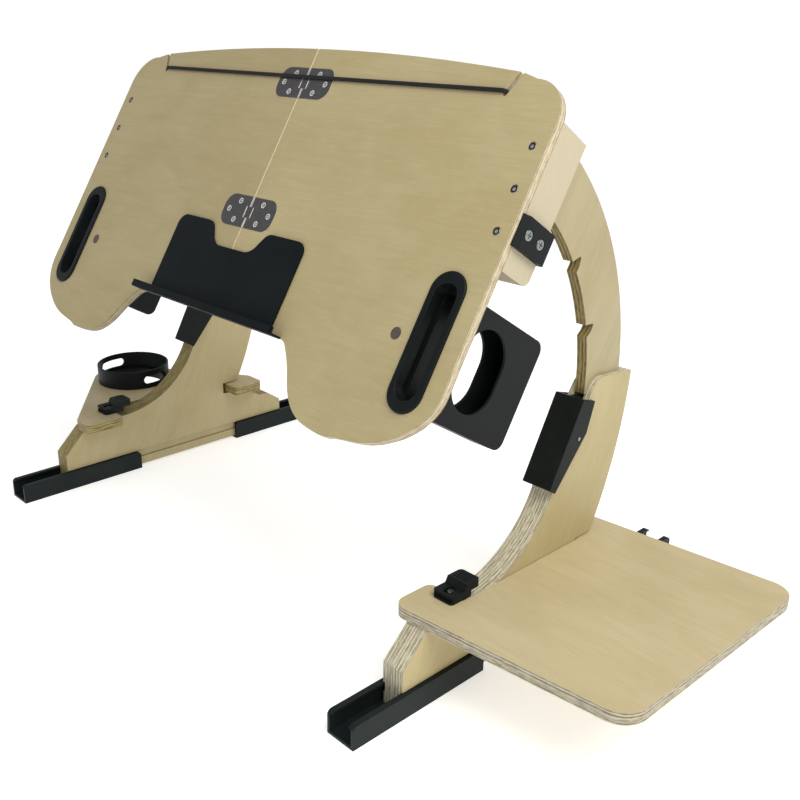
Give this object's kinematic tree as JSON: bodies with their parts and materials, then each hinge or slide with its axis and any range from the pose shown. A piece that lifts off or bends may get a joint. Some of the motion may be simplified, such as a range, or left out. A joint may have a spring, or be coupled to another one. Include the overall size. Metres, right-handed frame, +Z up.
{
  "type": "folding over-bed laptop desk",
  "caption": "Plywood over-bed laptop desk: a folding two-leaf desktop on arc arms that slide in side legs, with extending feet, side trays and a cup ring.",
  "frame": {"origin": "middle of the footprint box, on the floor plane under the foot channels", "axes": "+X along the desktop towards the large side tray, +Y from the user to the rear, +Z up"},
  "size_m": [1.041, 0.521, 0.5805],
  "materials": {
    "birch_ply": "clear satin lacquer",
    "black_plastic": "satin moulded",
    "black_sheet": "satin powder coat",
    "hinge_steel": "dark plated",
    "steel": "zinc plated",
    "magnet": "dull nickel",
    "elastic": "woven elastic"
  },
  "bodies": {
    "leg_right": {"leg_cheek_outer_right": "birch_ply", "leg_cheek_inner_right": "birch_ply", "leg_core_front_right": "birch_ply", "leg_core_rear_right": "birch_ply", "catch_pin_right": "steel"},
    "desk_right": {"desktop_right": "birch_ply", "rail_right": "birch_ply", "arm_right": "birch_ply", "bracket_right": "black_plastic", "bracket_screw_1_right": "steel", "bracket_screw_2_right": "steel", "pocket_right": "black_plastic", "rail_screw_1_right": "steel", "rail_screw_2_right": "steel", "rail_screw_3_right": "steel", "magnet_right": "magnet", "hinge_leaf_lower_right": "hinge_steel", "hinge_leaf_upper_right": "hinge_steel", "hinge_screws_lower_right": "hinge_steel", "hinge_screws_upper_right": "hinge_steel", "cord_right": "elastic"},
    "foot_front_right": {"channel_front_right": "black_plastic"},
    "foot_rear_right": {"channel_rear_right": "black_plastic"},
    "catch_right": {"catch_right": "black_plastic"},
    "side_tray_right": {"tray_right": "birch_ply", "latch_screw_right": "steel"},
    "tray_latch_right": {"latch_right": "black_plastic"},
    "leg_left": {"leg_cheek_outer_left": "birch_ply", "leg_cheek_inner_left": "birch_ply", "leg_core_front_left": "birch_ply", "leg_core_rear_left": "birch_ply", "catch_pin_left": "steel"},
    "desk_left": {"desktop_left": "birch_ply", "rail_left": "birch_ply", "arm_left": "birch_ply", "bracket_left": "black_plastic", "bracket_screw_1_left": "steel", "bracket_screw_2_left": "steel", "pocket_left": "black_plastic", "rail_screw_1_left": "steel", "rail_screw_2_left": "steel", "rail_screw_3_left": "steel", "magnet_left": "magnet", "hinge_leaf_lower_left": "hinge_steel", "hinge_leaf_upper_left": "hinge_steel", "hinge_screws_lower_left": "hinge_steel", "hinge_screws_upper_left": "hinge_steel", "cord_left": "elastic"},
    "foot_front_left": {"channel_front_left": "black_plastic"},
    "foot_rear_left": {"channel_rear_left": "black_plastic"},
    "catch_left": {"catch_left": "black_plastic"},
    "side_tray_left": {"tray_left": "birch_ply", "latch_screw_left": "steel", "cup_ring": "black_plastic"},
    "tray_latch_left": {"latch_left": "black_plastic"},
    "hinge_links": {"hinge_link_lower": "hinge_steel", "hinge_link_upper": "hinge_steel"},
    "book_ledge": {"bookrest": "black_sheet"}
  },
  "joints": [
    {"name": "arc_right", "type": "hinge", "parent": "leg_right", "child": "desk_right", "pos_m": [0.2951, -0.1735, 0.269], "axis": [1, 0, 0], "range_deg": [-36, 18]},
    {"name": "fold_link", "type": "hinge", "parent": "desk_right", "child": "hinge_links", "pos_m": [-0.0293, -0.10388, 0.41321], "axis": [0, 0.5201, 0.8541], "range_deg": [0, 90]},
    {"name": "fold_left", "type": "hinge", "parent": "hinge_links", "child": "desk_left", "pos_m": [-0.0377, -0.10388, 0.41321], "axis": [0, 0.5201, 0.8541], "range_deg": [0, 90]},
    {"name": "arc_left", "type": "hinge", "parent": "desk_left", "child": "leg_left", "pos_m": [-0.3621, -0.1735, 0.269], "axis": [1, 0, 0], "range_deg": [-18, 36]},
    {"name": "ledge_lift", "type": "slide", "parent": "desk_right", "child": "book_ledge", "axis": [0, -0.8541, 0.5201], "range_m": [0, 0.88]},
    {"name": "foot_front_slide_right", "type": "slide", "parent": "leg_right", "child": "foot_front_right", "axis": [0, 1, 0], "range_m": [-0.06, 0.05]},
    {"name": "foot_rear_slide_right", "type": "slide", "parent": "leg_right", "child": "foot_rear_right", "axis": [0, 1, 0], "range_m": [-0.05, 0.05]},
    {"name": "catch_rock_right", "type": "hinge", "parent": "leg_right", "child": "catch_right", "pos_m": [0.2951, 0.0458, 0.2153], "axis": [1, 0, 0], "range_deg": [-8, 0]},
    {"name": "tray_slide_right", "type": "slide", "parent": "leg_right", "child": "side_tray_right", "axis": [1, 0, 0], "range_m": [0, 0.06]},
    {"name": "latch_slide_right", "type": "slide", "parent": "side_tray_right", "child": "tray_latch_right", "axis": [0, 1, 0], "range_m": [0, 0.0045]},
    {"name": "foot_front_slide_left", "type": "slide", "parent": "leg_left", "child": "foot_front_left", "axis": [0, 1, 0], "range_m": [-0.06, 0.05]},
    {"name": "foot_rear_slide_left", "type": "slide", "parent": "leg_left", "child": "foot_rear_left", "axis": [0, 1, 0], "range_m": [-0.05, 0.05]},
    {"name": "catch_rock_left", "type": "hinge", "parent": "leg_left", "child": "catch_left", "pos_m": [-0.3621, 0.0458, 0.2153], "axis": [1, 0, 0], "range_deg": [-8, 0]},
    {"name": "tray_slide_left", "type": "slide", "parent": "leg_left", "child": "side_tray_left", "axis": [-1, 0, 0], "range_m": [0, 0.06]},
    {"name": "latch_slide_left", "type": "slide", "parent": "side_tray_left", "child": "tray_latch_left", "axis": [0, 1, 0], "range_m": [0, 0.0045]}
  ],
  "couplings": [
    {"joint": "fold_left", "follows": "fold_link", "ratio": 1},
    {"joint": "ledge_lift", "follows": "fold_link", "m_per_rad": 0.56},
    {"joint": "arc_left", "follows": "arc_right", "ratio": -1}
  ]
}
